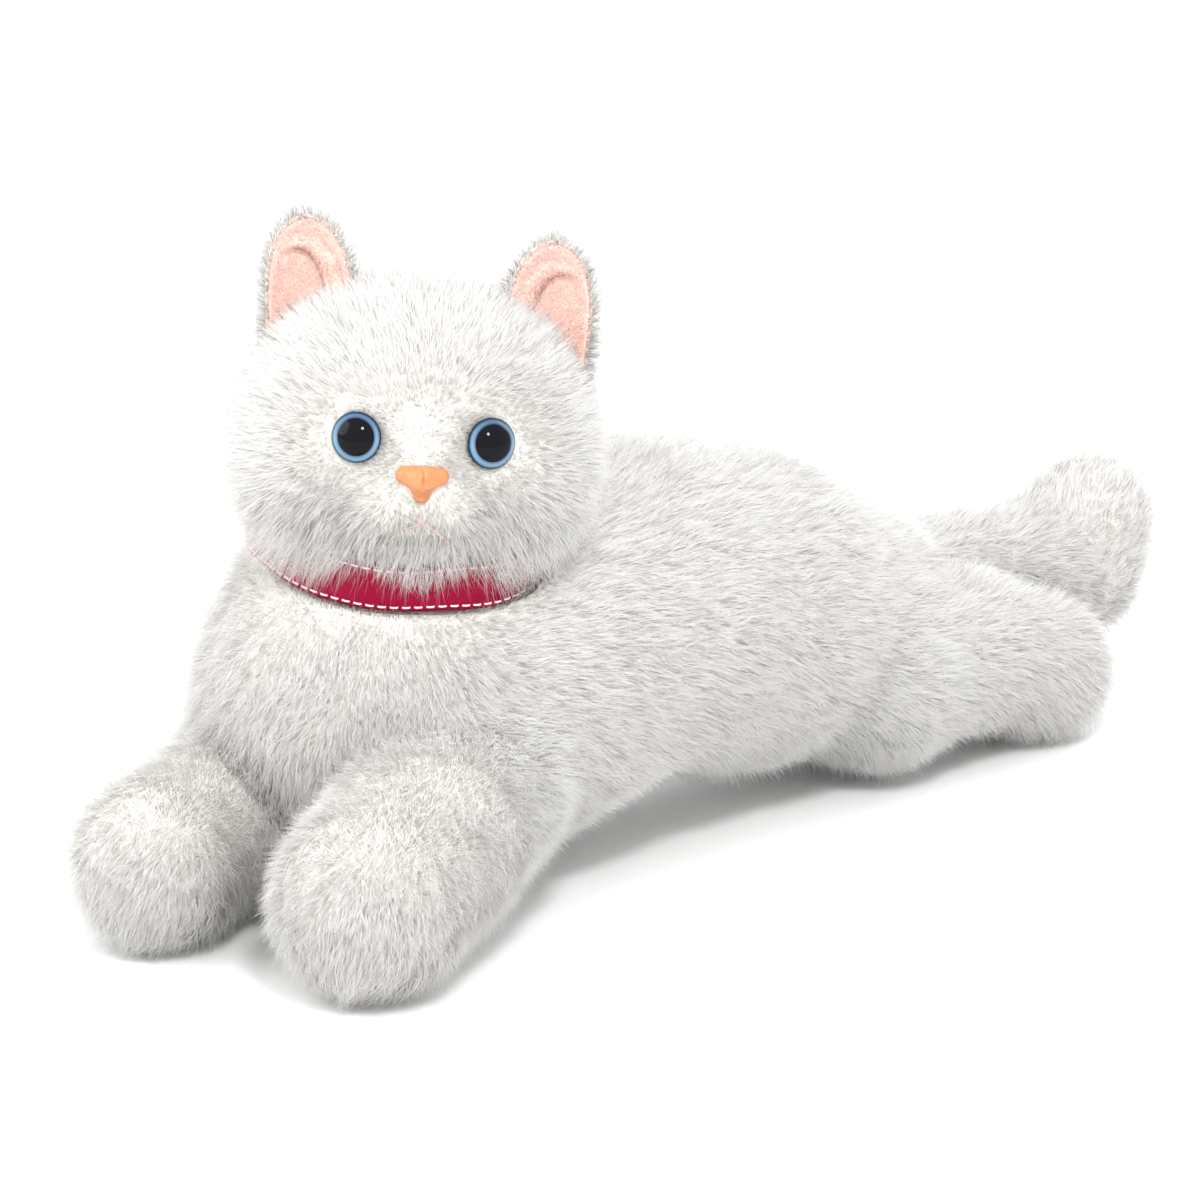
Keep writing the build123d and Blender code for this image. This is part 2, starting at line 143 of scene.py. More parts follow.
def skin_of(form, low, high, step):
    """A closed quad mesh on a form's surface: one corner per crossed grid cell, pulled onto the form."""
    ticks = [np.arange(l, h + step, step) for l, h in zip(low, high)]
    grid = np.stack(np.meshgrid(*ticks, indexing="ij"), -1)
    value = form(grid.reshape(-1, 3)).reshape(grid.shape[:3])
    cells = tuple(n - 1 for n in value.shape)
    total = np.zeros(cells + (3,))
    count = np.zeros(cells)
    crossings = []
    for axis in range(3):
        near = [slice(None)] * 3
        far = [slice(None)] * 3
        near[axis] = slice(0, -1)
        far[axis] = slice(1, None)
        a, b = value[tuple(near)], value[tuple(far)]
        crossed = (a < 0) != (b < 0)
        share = np.where(crossed, a / np.where(crossed, a - b, 1), 0)
        point = grid[tuple(near)].copy()
        point[..., axis] += share * step
        others = [k for k in range(3) if k != axis]
        for shift_u in (0, 1):
            for shift_v in (0, 1):
                pick = [slice(None)] * 3
                pick[others[0]] = slice(shift_u, cells[others[0]] + shift_u)
                pick[others[1]] = slice(shift_v, cells[others[1]] + shift_v)
                hit = crossed[tuple(pick)]
                total += point[tuple(pick)] * hit[..., None]
                count += hit
        crossings.append((axis, others, crossed, a < 0))
    number = np.full(cells, -1)
    active = count > 0
    number[active] = np.arange(active.sum())
    corners = total[active] / count[active][:, None]
    quads = []
    for axis, (u, v), crossed, starts_inside in crossings:
        inner = [slice(None)] * 3
        inner[u] = slice(1, -1)
        inner[v] = slice(1, -1)
        place = np.argwhere(crossed[tuple(inner)])
        place[:, u] += 1
        place[:, v] += 1
        inside = starts_inside[tuple(place.T)]
        ring = []
        for shift_u, shift_v in ((1, 1), (0, 1), (0, 0), (1, 0)):
            cell = place.copy()
            cell[:, u] -= shift_u
            cell[:, v] -= shift_v
            ring.append(number[tuple(cell.T)])
        quad = np.stack(ring, 1)
        turned = inside if axis != 1 else ~inside
        quad[~turned] = quad[~turned][:, ::-1]
        quads.append(quad)
    quads = np.concatenate(quads)
    for _ in range(3):
        corners = corners - slope(form, corners) * form(corners)[:, None]
    return corners, quads


def scene_object(name, data):
    made = bpy.data.objects.new(name, data)
    bpy.context.scene.collection.objects.link(made)
    return made


def mesh_object(name, corners, faces, surface):
    if isinstance(faces, np.ndarray):
        faces = faces.tolist()
    mesh = bpy.data.meshes.new(name)
    mesh.from_pydata(np.asarray(corners).tolist(), [], faces)
    mesh.materials.append(surface)
    mesh.shade_smooth()
    mesh.update()
    return scene_object(name, mesh)


# ---- the cat's body, in millimetres from the CAD frame's landmarks ---------------------------
LEG_NAMES = ("left_front_leg", "right_front_leg", "left_hind_leg", "right_hind_leg")
LEG_JOINT = {name: name + ("_lift" if "front" in name else "_spread") for name in LEG_NAMES}
SHARE_OF_PILE = 5.0 * MM                  # how far the fur stands proud of the skin under it
FRONT_PAW_CAD_RADIUS = 30.0 * MM
HIND_PAW_CAD_RADIUS = 25.0 * MM
FRONT_PAW_STRETCH = 5.0 * MM              # of the front paws beyond the CAD legs
PAW_PRESS = 2.0                           # by which the floor flattens a paw's fur, in millimetres
# radii of the fur's outline at hip or shoulder, middle and paw, in millimetres
LEG_RADII = {
    "left_front_leg": (29.5, 28.5, 30.5),
    "right_front_leg": (28.5, 26.5, 28.0),
    "left_hind_leg": (29.0, 24.5, 25.5),
    "right_hind_leg": (29.0, 26.5, 25.5),
}
LEG_MIDDLE_LIFT = {"left_front_leg": 0, "right_front_leg": -4, "left_hind_leg": 9, "right_hind_leg": 2}


def leg_stations(name):
    """Hip or shoulder, middle and paw of a leg, with skin radii, from its CAD panels."""
    pivot = np.array(joints[LEG_JOINT[name]]["pos_m"], float)
    low_a, high_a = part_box(name + "_outer_panel")
    low_b, high_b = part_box(name + "_inner_panel")
    low = np.minimum(low_a, low_b)
    high = np.maximum(high_a, high_b)
    front = "front" in name
    paw_radius = FRONT_PAW_CAD_RADIUS if front else HIND_PAW_CAD_RADIUS
    paw = np.array([0.0, 0.0, (LEG_RADII[name][2] - PAW_PRESS) * MM])
    paw[0] = high[0] - paw_radius if high[0] - pivot[0] > pivot[0] - low[0] else low[0] + paw_radius
    paw[1] = low[1] + paw_radius if front else high[1] - paw_radius
    paw[:2] += unit(paw - pivot)[:2] * (FRONT_PAW_STRETCH if front else 0)
    middle = pivot * 0.5 + paw * 0.5
    middle[2] += LEG_MIDDLE_LIFT[name] * MM
    stations = zip((pivot, middle, paw), LEG_RADII[name])
    return [(place, radius * MM - SHARE_OF_PILE) for place, radius in stations]


LEG_STATIONS = {name: leg_stations(name) for name in LEG_NAMES}

torso_low = np.minimum(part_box("torso_left_panel")[0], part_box("torso_right_panel")[0])
torso_high = np.maximum(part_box("torso_left_panel")[1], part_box("torso_right_panel")[1])
chest = head_centre - np.array([3.0, 6.0, 84.0]) * MM
# (place, radius of the fur's outline) along the spine, measured from the chest
SPINE = [
    ((-4, -9, 1), 54.0),
    ((0, 8, 3), 57.0),
    ((10, 40, 7), 56.5),
    ((20, 88, 12), 52.5),
    ((25, 130, 4), 49.5),
    ((28, 170, -9), 39.0),
    ((29, 187, -10), 33.0),
]
SPINE_STATIONS = [(chest + np.array(place) * MM, radius * MM - SHARE_OF_PILE) for place, radius in SPINE]
# the same along the tail, measured from its root
TAIL = [
    ((-1, 0, -6), 15.5),
    ((4, 36, -12), 16.0),
    ((10, 61, -17), 19.0),
    ((15, 82, -19), 21.5),
    ((18, 88, -4), 21.5),
]
tail_root = np.array(joints["tail_lift"]["pos_m"], float)
TAIL_SHARE_OF_PILE = 3.5 * MM
TAIL_STATIONS = [
    (tail_root + np.array(place) * MM, radius * MM - TAIL_SHARE_OF_PILE) for place, radius in TAIL
]
FLOOR_CLEARANCE = 0.8 * MM


def above_floor(points, shape):
    return np.maximum(shape, FLOOR_CLEARANCE - points[:, 2])


neck_axes = np.array([side_dir, forward_of_neck, neck_dir])
COLLAR_FOOT = -39 * MM                    # height along the neck from the head's centre


def neck_coordinates(points):
    """Height along the neck's axis above the head's centre, and distance from the axis."""
    offset = points - head_centre
    height = offset @ neck_dir
    return height, np.linalg.norm(offset - height[:, None] * neck_dir, axis=1)


# the belly arches over this roller between elbows and thighs
BELLY_ARCH = (chest + np.array([-80, 66, -72]) * MM, chest + np.array([120, 66, -72]) * MM)
BELLY_ARCH_RADIUS = 42 * MM


def torso_form(points):
    shape = chain(points, SPINE_STATIONS, 14 * MM)
    neck_foot = head_centre - neck_dir * 72 * MM
    neck_top = head_centre - neck_dir * 62 * MM
    shape = join(shape, bar(points, neck_foot, neck_top, 46 * MM, 44 * MM), 18 * MM)
    for name in LEG_NAMES:
        (hip, hip_radius), (middle, _), _ = LEG_STATIONS[name]
        reach = 0.55 if "front" in name else 0.32
        thigh = hip * (1 - reach) + middle * reach
        shape = join(shape, bar(points, hip, thigh, hip_radius, hip_radius - 2 * MM), 13 * MM)
    shape = dent(shape, bar(points, *BELLY_ARCH, BELLY_ARCH_RADIUS, BELLY_ARCH_RADIUS), 14 * MM)
    height, reach = neck_coordinates(points)
    collar_groove = np.maximum(reach - 49 * MM, COLLAR_FOOT - height)
    collar_groove = np.maximum(collar_groove, 43.2 * MM - reach)
    shape = dent(shape, collar_groove, 1.5 * MM)
    seat = ball(points, head_centre, 47.5 * MM, neck_axes, (1.19, 1.19, 1.0))
    shape = dent(shape, seat, 2 * MM)
    return above_floor(points, shape)


def leg_form(name):
    stations = LEG_STATIONS[name]

    def form(points):
        return above_floor(points, chain(points, stations, 12 * MM))

    return form


def tail_form(points):
    return above_floor(points, chain(points, TAIL_STATIONS, 14 * MM))


HEAD_SKIN = 43.0                          # radius of the head's round section, under the fur
FACE_SHIFT = 1.3                          # of the features towards the cat's left
EYES = [(20.0 + FACE_SHIFT, 1.6), (-20.0 + FACE_SHIFT, 1.6)]
NOSE = (FACE_SHIFT - 0.2, -10.5)


RELIEF_SHARE = 0.6                        # of the full nod, up to which the muzzle clears the collar


def nodded(points):
    """Where points of the head are when it is nodded most of the way down."""
    pivot = np.array(joints["head_nod"]["pos_m"], float)
    angle = math.radians(max(joints["head_nod"]["range_deg"])) * RELIEF_SHARE
    offset = points - pivot
    along = (offset @ side_dir)[:, None] * side_dir
    return pivot + along + (offset - along) * math.cos(angle) + np.cross(side_dir, offset) * math.sin(angle)


def collar_room(points):
    """The ring that the collar takes up, with a little air."""
    height, reach = neck_coordinates(points)
    return np.maximum(np.abs(reach - 46.8 * MM) - 1.6 * MM, np.abs(height + 30.5 * MM) - 8.0 * MM)


def head_form(points):
    shape = ball(points, head_centre, HEAD_SKIN * MM, head_axes, (1.215, 1.0, 1.0))
    for sign in (-1, 1):
        shape = join(shape, ball(points, on_head(sign * 28.5, -11, 15), 21.5 * MM), 10 * MM)
        shape = join(shape, ball(points, on_head(NOSE[0] + sign * 8.5, -19, 37.5), 9.5 * MM), 7 * MM)
    shape = join(shape, ball(points, on_head(NOSE[0], -22, 20), 20 * MM), 9 * MM)
    shape = join(shape, ball(points, on_head(NOSE[0], -27, 33), 8.5 * MM), 6 * MM)
    bridge = bar(points, on_head(NOSE[0], 7, 39), on_head(NOSE[0], -7, 41), 5.5 * MM, 5.5 * MM)
    shape = join(shape, bridge, 7 * MM)
    for across, up in EYES:
        shape = dent(shape, ball(points, on_head(across, up, 45.5), 8.5 * MM), 5 * MM)
    return dent(shape, collar_room(nodded(points)), 4 * MM)


# ---- materials --------------------------------------------------------------------------------
def material(name):
    made = bpy.data.materials.new(name)
    made.use_nodes = True
    return made, made.node_tree, made.node_tree.nodes["Principled BSDF"]


def node(tree, kind, **settings):
    made = tree.nodes.new(kind)
    for key, value in settings.items():
        if key in made.inputs:
            made.inputs[key].default_value = value
        else:
            setattr(made, key, value)
    return made


def tune(made, **values):
    """Sets a node's inputs, with an underscore for each space in their names."""
    for key, value in values.items():
        made.inputs[key.replace("_", " ")].default_value = value


def multiplied(tree, a, b):
    """The product of two colours."""
    mixed = node(tree, "ShaderNodeMix", data_type="RGBA", blend_type="MULTIPLY")
    mixed.inputs["Factor"].default_value = 1
    tree.links.new(a, mixed.inputs["A"])
    tree.links.new(b, mixed.inputs["B"])
    return mixed.outputs["Result"]


def add_bump(tree, shader, height, strength, distance):
    bump = node(tree, "ShaderNodeBump", Strength=strength, Distance=distance)
    tree.links.new(height, bump.inputs["Height"])
    tree.links.new(bump.outputs["Normal"], shader.inputs["Normal"])


def pattern(tree, kind, **settings):
    """A procedural pattern in the object's own space."""
    place = node(tree, "ShaderNodeTexCoord")
    made = node(tree, kind, **settings)
    tree.links.new(place.outputs["Object"], made.inputs["Vector"])
    return made.outputs["Fac"]


def ramp(tree, factor, stops):
    made = tree.nodes.new("ShaderNodeValToRGB")
    while len(made.color_ramp.elements) < len(stops):
        made.color_ramp.elements.new(0.5)
    for element, (place, colour) in zip(made.color_ramp.elements, stops):
        element.position = place
        element.color = (*colour, 1)
    tree.links.new(factor, made.inputs["Fac"])
    return made.outputs["Color"]


def fur_material(name, root, tip, shade, through):
    """Fibre: painted shade darker low in the pile, a little tint from strand to strand, light that comes
    through.
    """
    made, tree, shader = material(name)
    spot = node(tree, "ShaderNodeUVMap", uv_map="OFBake")
    split = node(tree, "ShaderNodeSeparateXYZ")
    tree.links.new(spot.outputs["UV"], split.inputs["Vector"])
    # painted shade: each fibre runs from the darker root colour low in the pile to its tip colour
    along = ramp(tree, split.outputs["Y"], [(0.12, root), (0.5, tip)])
    tint = ramp(tree, split.outputs["X"], [(0.0, shade), (0.6, (1, 1, 1))])
    colour = multiplied(tree, along, tint)
    tree.links.new(colour, shader.inputs["Base Color"])
    tune(shader, Roughness=0.75, Specular_IOR_Level=0.15)
    back = node(tree, "ShaderNodeBsdfTranslucent")
    tree.links.new(colour, back.inputs["Color"])
    both = node(tree, "ShaderNodeMixShader", Fac=through)
    tree.links.new(shader.outputs["BSDF"], both.inputs[1])
    tree.links.new(back.outputs["BSDF"], both.inputs[2])
    tree.links.new(both.outputs["Shader"], tree.nodes["Material Output"].inputs["Surface"])
    return made


def backing_material(name, dark, light, size):
    """Knitted backing and the dense foot of the pile, in the painted shade of the pile's foot; the mottle is
    random tone.
    """
    made, tree, shader = material(name)
    mottle = pattern(tree, "ShaderNodeTexNoise", Scale=size, Detail=4)
    tree.links.new(ramp(tree, mottle, [(0.3, dark), (0.7, light)]), shader.inputs["Base Color"])
    add_bump(tree, shader, mottle, 0.4, 0.0006)
    tune(shader, Roughness=0.9, Specular_IOR_Level=0.1)
    return made


# painted shade: both backings are given the darker colours of the pile's foot, below the fibres' own tip
# colours
white_backing = backing_material("white_backing", (0.66, 0.64, 0.605), (0.72, 0.705, 0.675), 900)
pink_backing = backing_material("pink_backing", (0.92, 0.57, 0.49), (0.95, 0.66, 0.58), 1200)
# the root colours are painted shade low in the pile; the tips carry the fibres' own colours
white_fur = fur_material("white_fur", (0.69, 0.67, 0.635), (0.99, 0.985, 0.975), (0.98, 0.975, 0.965), 0.45)
pink_fur = fur_material("pink_velboa", (0.93, 0.58, 0.50), (0.98, 0.77, 0.70), (0.97, 0.93, 0.92), 0.3)


# ---- fur ----------------------------------------------------------------------------------------
class Ripple:
    """A smooth, seeded wander in three directions, for tufts that lean together."""

    def __init__(self, seed, wavelength, waves=14):
        random = np.random.default_rng(seed)
        directions = random.normal(size=(waves, 3))
        directions /= np.linalg.norm(directions, axis=1, keepdims=True)
        self.waves = directions * (2 * math.pi / wavelength) * random.uniform(0.6, 1.5, (waves, 1))
        self.phase = random.uniform(0, 2 * math.pi, (3, waves))

    def __call__(self, points):
        angle = points @ self.waves.T
        sums = [np.sin(angle + phase).sum(1) for phase in self.phase]
        return np.stack(sums, 1) / math.sqrt(len(self.waves) / 2)


STRAY_SHARE = 0.16                        # of the fibres that stand up out of the pile
ROOT_DEPTH = 0.6 * MM                     # of a fibre's foot under the skin
FIBRE_CLEARANCE = 0.4 * MM                # above the floor
TINTS = 64
TIP_COLOUR_REACH = 8 * MM                 # length at which a fibre reaches the colour of its tip, past the painted shade of the pile's foot
LONG_PILE = 9.5 * MM
SHORT_PILE = 2.5 * MM                     # where the collar lies
TAIL_PILE = 8.5 * MM
VELBOA_PILE = 1.6 * MM
TUFTS = Ripple(SEED, 9 * MM)
LOCKS = Ripple(SEED + 1, 26 * MM)


def sample_roots(corners, quads, count, random):
    """Evenly spread points on a quad mesh."""
    triangles = np.concatenate([quads[:, [0, 1, 2]], quads[:, [0, 2, 3]]])
    a, b, c = (corners[triangles[:, k]] for k in range(3))
    area = np.linalg.norm(np.cross(b - a, c - a), axis=1)
    chosen = np.searchsorted(np.cumsum(area) / area.sum(), random.random(count))
    u, v = random.random((2, count, 1))
    flip = u + v > 1
    u = np.where(flip, 1 - u, u)
    v = np.where(flip, 1 - v, v)
    return a[chosen] + (b - a)[chosen] * u + (c - a)[chosen] * v


def plant_fur(
    name, form, skin, fur, per_mm2, comb, length, keep, seed, width, stiffness=0.55, deep=True,
):
    """Tapered two-step ribbons rooted on a form's surface.

    comb(points) gives the way the pile is brushed, length(points) its length in metres, and
    keep(points) says where fur grows.  In deep fur, short pile has the painted shade of long pile's foot.
    """
    skin_corners, quads = skin
    random = np.random.default_rng(SEED + seed)
    a, b, c, d = (skin_corners[quads[:, k]] for k in range(4))
    area = 0.5 * np.linalg.norm(np.cross(c - a, d - b), axis=1).sum() / MM ** 2
    root = sample_roots(skin_corners, quads, int(area * per_mm2 * DENSITY), random)
    root = root[keep(root)]
    count = len(root)
    normal = slope(form, root)
    brushed = comb(root)
    brushed = brushed - normal * (brushed * normal).sum(1, keepdims=True)
    brushed /= np.maximum(np.linalg.norm(brushed, axis=1, keepdims=True), 1e-9)
    reach = length(root) * random.uniform(0.72, 1.12, count)
    stray = random.random((count, 1)) < STRAY_SHARE
    reach = reach * np.where(stray[:, 0], 1.12, 1)
    wander = TUFTS(root) * 0.09 + LOCKS(root) * 0.10 + random.normal(0, 0.24, (count, 3))
    start = normal + brushed * 0.45 + wander * 0.6
    end = normal * np.where(stray, 1.5, 1.1 - 1.1 * stiffness) + brushed + wander * 1.1
    start /= np.linalg.norm(start, axis=1, keepdims=True)
    end /= np.linalg.norm(end, axis=1, keepdims=True)
    inward = (end * normal).sum(1, keepdims=True)
    end = end + normal * np.maximum(0.12 - inward, 0)
    middle = root + start * (reach * 0.5)[:, None]
    tip = middle + end * (reach * 0.5)[:, None]
    for point in (middle, tip):
        point[:, 2] = np.maximum(point[:, 2], FIBRE_CLEARANCE)
    across = np.cross(end, normal)
    across += random.normal(0, 0.25, (count, 3))
    across /= np.maximum(np.linalg.norm(across, axis=1, keepdims=True), 1e-9)
    half = across * (width * MM / 2 * random.uniform(0.8, 1.25, count))[:, None]
    sunk = root - normal * ROOT_DEPTH
    corners = np.stack([sunk - half, sunk + half, middle + half * 0.85, middle - half * 0.85, tip], 1)
    tint = (random.integers(0, TINTS, count) + 0.5) / TINTS
    # painted shade: in deep fur, short fibres keep the darker colour of the pile's foot
    rise = np.clip(reach / TIP_COLOUR_REACH, 0.1, 1) if deep else np.ones(count)
    lit = normal * 0.75 + end * 0.35 + random.normal(0, 0.12, (count, 3))
    lit /= np.linalg.norm(lit, axis=1, keepdims=True)
    return fibres_object(name, corners, tint, rise, lit, fur)


def fibres_object(name, corners, tint, rise, lit, fur):
    """A quad and a triangle for each fibre, from its five corners.

    The UVs hold the fibre's tint and how far along it a corner is, times the fibre's rise, which sets its
    painted shade low in the pile.
    """
    count = len(corners)
    first = np.arange(count)[:, None] * 5
    loops = np.concatenate([first + [0, 1, 2, 3], first + [3, 2, 4]], 1)
    starts = np.arange(count)[:, None] * 7 + [0, 4]
    mesh = bpy.data.meshes.new(name)
    mesh.vertices.add(count * 5)
    mesh.loops.add(count * 7)
    mesh.polygons.add(count * 2)
    mesh.vertices.foreach_set("co", corners.astype(np.float32).ravel())
    mesh.loops.foreach_set("vertex_index", loops.astype(np.int32).ravel())
    mesh.polygons.foreach_set("loop_start", starts.astype(np.int32).ravel())
    mesh.update(calc_edges=True)
    along = np.tile([0.02, 0.02, 0.5, 0.5, 0.5, 0.5, 0.98], count) * np.repeat(rise, 7)
    spots = np.stack([np.repeat(tint, 7), along], 1)
    uv = mesh.uv_layers.new(name="OFBake")
    uv.data.foreach_set("uv", spots.astype(np.float32).ravel())
    mesh.materials.append(fur)
    mesh.shade_smooth()
    mesh.normals_split_custom_set_from_vertices(np.repeat(lit, 5, axis=0).tolist())
    return scene_object(name, mesh)


def stations_box(stations, margin):
    """The box round a limb, with a margin."""
    places = np.array([place for place, _ in stations])
    radius = max(radius for _, radius in stations) + margin
    return places.min(0) - radius, places.max(0) + radius


def dress(name, body, form, bounds, step, backing, fur, strips, slot="white_fur", **brush):
    """A skin and the fur on it, riding on a body if one is given.

    strips is {fur piece name: where it grows}; slot, the CAD material that the pieces stand for, is not
    used.
    """
    corners, quads = skin_of(form, bounds[0], bounds[1], step)
    pieces = [mesh_object(name + "_skin", corners, quads, backing)]
    for piece_name, keep in strips.items():
        seed = brush_seed(piece_name)
        pieces.append(plant_fur(piece_name, form, (corners, quads), fur, keep=keep, seed=seed, **brush))
    for piece in pieces:
        if body:
            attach(piece, body)
    return pieces


def brush_seed(name):
    """A different number for every piece of fur, the same each time."""
    return sum(ord(letter) * (place + 1) for place, letter in enumerate(name))


# ---- torso ---------------------------------------------------------------------------------------
leg_forms = {name: leg_form(name) for name in LEG_NAMES}
BURIED = -9 * MM                          # depth in a neighbour below which no fur is planted


def outside_limbs(points):
    free = np.ones(len(points), bool)
    for form in leg_forms.values():
        free &= form(points) > BURIED
    return free & (tail_form(points) > BURIED)


def torso_comb(points):
    spread = np.tile([0.12, 1.0, -0.35], (len(points), 1))
    front = np.clip((chest[1] - points[:, 1]) / (30 * MM), 0, 1)[:, None]
    return spread * (1 - front) + np.array([0.1, -0.15, -1.0]) * front


def pressed(points):
    """Share of its length that the pile keeps next to the floor."""
    return np.clip(points[:, 2] / (7 * MM), 0.55, 1)


def torso_pile(points):
    height, reach = neck_coordinates(points)
    below_collar = np.clip((COLLAR_FOOT + 1 * MM - height) / (9 * MM), 0, 1)
    below_collar = np.maximum(below_collar, np.clip((reach - 48 * MM) / (8 * MM), 0, 1))
    return (SHORT_PILE + (LONG_PILE - SHORT_PILE) * below_collar) * pressed(points)


def torso_strip(test):
    def keep(points):
        height, reach = neck_coordinates(points)
        hidden = (height > -38 * MM) & (reach < 38 * MM)
        return outside_limbs(points) & ~hidden & test(points)

    return keep


SADDLE = chest[1] + 62 * MM
torso_strips = {
    "chest_fur": torso_strip(lambda p: p[:, 1] < SADDLE - 45 * MM),
    "shoulder_fur": torso_strip(lambda p: (p[:, 1] >= SADDLE - 45 * MM) & (p[:, 1] < SADDLE)),
    "flank_fur": torso_strip(lambda p: (p[:, 1] >= SADDLE) & (p[:, 1] < SADDLE + 50 * MM)),
    "haunch_fur": torso_strip(lambda p: p[:, 1] >= SADDLE + 50 * MM),
}
torso_bounds = (torso_low - 22 * MM, torso_high + 22 * MM)
torso_pieces = dress(
    "torso", "torso", torso_form, torso_bounds, 3.0 * MM, white_backing, white_fur, torso_strips,
    per_mm2=2.2, comb=torso_comb, length=torso_pile, width=0.17,
)
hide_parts("torso_left_panel", "torso_right_panel", "torso_belly_panel", "torso_stuffing")
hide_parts("torso_pellet_bag", "neck_stuffing")


# ---- legs ------------------------------------------------------------------------------------------
def leg_comb(stations):
    """Along the leg, and over the paw down to the floor."""
    hip, paw = stations[0][0], stations[-1][0]
    along = unit(paw - hip)

    def comb(points):
        share = np.clip((points - hip) @ along / np.linalg.norm(paw - hip), 0, 1)[:, None]
        aside = (points - paw) * share ** 2 / (30 * MM)
        return along + aside * 0.25 - np.array([0, 0, 0.2]) - np.array([0, 0, 0.9]) * share ** 2

    return comb


def leg_keep(name):
    def keep(points):
        free = torso_form(points) > BURIED
        for other in LEG_NAMES:
            if other != name:
                free &= leg_forms[other](points) > BURIED
        return free

    return keep


def pile_on_floor(points):
    return LONG_PILE * pressed(points)


for name in LEG_NAMES:
    stations = LEG_STATIONS[name]
    leg_pieces = dress(
        name, None, leg_forms[name], stations_box(stations, 4 * MM), 2.5 * MM, white_backing, white_fur,
        {name + "_fur": leg_keep(name)}, per_mm2=2.2, comb=leg_comb(stations), length=pile_on_floor,
        width=0.17,
    )
    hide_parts(name + "_outer_panel", name + "_inner_panel", name + "_stuffing")
    for piece in leg_pieces:
        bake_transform(piece)


# ---- tail ------------------------------------------------------------------------------------------
def tail_comb(points):
    """Along the nearest stretch of the tail, towards its tip."""
    best = np.full(len(points), np.inf)
    way = np.zeros_like(points)
    for (start, start_radius), (end, end_radius) in zip(TAIL_STATIONS, TAIL_STATIONS[1:]):
        distance = bar(points, start, end, start_radius, end_radius)
        nearer = distance < best
        best = np.where(nearer, distance, best)
        way[nearer] = unit(end - start)
    return way


tail_pieces = dress(
    "tail", None, tail_form, stations_box(TAIL_STATIONS, 4 * MM), 2.2 * MM, white_backing, white_fur,
    {"tail_fur": lambda p: torso_form(p) > BURIED}, per_mm2=2.5, comb=tail_comb,
    length=lambda p: np.full(len(p), TAIL_PILE), width=0.17,
)
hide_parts("tail_left_panel", "tail_right_panel", "tail_stuffing")
for piece in tail_pieces:
    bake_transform(piece)


# ---- head ------------------------------------------------------------------------------------------
def in_head(points):
    """Millimetres to the head's left, up and out of its face."""
    return (points - head_centre) @ head_axes.T / MM


BRIDGE_MIDDLE = 3.0                       # of the short pile between the eyes


def head_comb(points):
    away = points - on_head(NOSE[0], -4, 56)
    hang = np.clip((-in_head(points)[:, 1] - 12) / 14, 0, 1)[:, None]
    away /= np.linalg.norm(away, axis=1, keepdims=True)
    return away + np.array([0, 0, -0.18]) - hang * np.array([0, 0, 0.9])


def head_pile(points):
    across, up, forward = in_head(points).T
    pile = np.full(len(points), 9.0)
    front = forward > 0
    for eye_across, eye_up in EYES:
        gap = np.hypot(across - eye_across, up - eye_up)
        pile = np.where(front, np.minimum(pile, np.clip(2.5 + (gap - 8) * 0.55, 2.0, 9)), pile)
    gap = np.hypot(across - NOSE[0], (up - NOSE[1]) * 1.1)
    pile = np.where(front, np.minimum(pile, np.clip(2.2 + (gap - 6) * 0.30, 2.0, 9)), pile)
    gap = np.hypot(across - NOSE[0], up - BRIDGE_MIDDLE)
    pile = np.where(front, np.minimum(pile, np.clip(2.2 + (gap - 8) * 0.6, 2.2, 9)), pile)
    under = np.clip((-up - 16) / 12, 0, 1) * np.clip(forward / 12, 0, 1)
    beside = np.clip((np.hypot(across - NOSE[0], forward - 34) - 9) / 12, 0.25, 1)
    pile = pile + under * beside * 8.0
    return pile * MM


def head_keep(points):
    across, up, forward = in_head(points).T
    free = np.ones(len(points), bool)
    for eye_across, eye_up in EYES:
        free &= ~((forward > 0) & (np.hypot(across - eye_across, up - eye_up) < 7.0))
    free &= ~((forward > 0) & (np.hypot(across - NOSE[0], (up - NOSE[1]) * 1.3) < 6.0))
    return free


def face_side(points):
    return in_head(points)[:, 2] > 8


head_low = head_centre - 66 * MM
head_high = head_centre + 66 * MM
head_pieces = dress(
    "head", "head", head_form, (head_low, head_high), 2.0 * MM, white_backing, white_fur,
    {
        "face_fur": lambda p: head_keep(p) & face_side(p),
        "head_back_fur": lambda p: head_keep(p) & ~face_side(p),
    },
    per_mm2=3.0, comb=head_comb, length=head_pile, width=0.15,
)
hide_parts("head_face_panel", "head_back_left_panel", "head_back_right_panel")
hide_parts("head_stuffing")


# ---- ears ------------------------------------------------------------------------------------------
EAR_SPLAY = math.radians(6)
EAR_FOOT = 20                             # millimetres above the head's centre
EAR_HEIGHT = 42 * MM
EAR_HALF_WIDTH = 13.6 * MM
EAR_CUP = 6.5 * MM                        # how far the ear's edges stand ahead of its middle
EAR_LEAN = 4 * MM                         # of the tip backwards
EAR_SHIFT = {"left": (-0.5, -4.0), "right": (-2.6, 0.0)}    # across and up, from the CAD ear, in mm


def ear_frame(side):
    """Foot of the ear's middle line, its across, up and forward directions, and the outward sign."""
    sign = 1 if side == "left" else -1
    up = crown_dir * math.cos(EAR_SPLAY) + side_dir * sign * math.sin(EAR_SPLAY)
    hinge = np.array(joints[side + "_ear_fold"]["pos_m"], float)
    rise = (hinge - head_centre) @ crown_dir - EAR_FOOT * MM
    foot = hinge - up * rise / math.cos(EAR_SPLAY)
    across, higher = EAR_SHIFT[side]
    foot = foot + (side_dir * across + crown_dir * higher) * MM
    return foot, np.array([unit(np.cross(up, face_dir)), up, face_dir]), sign


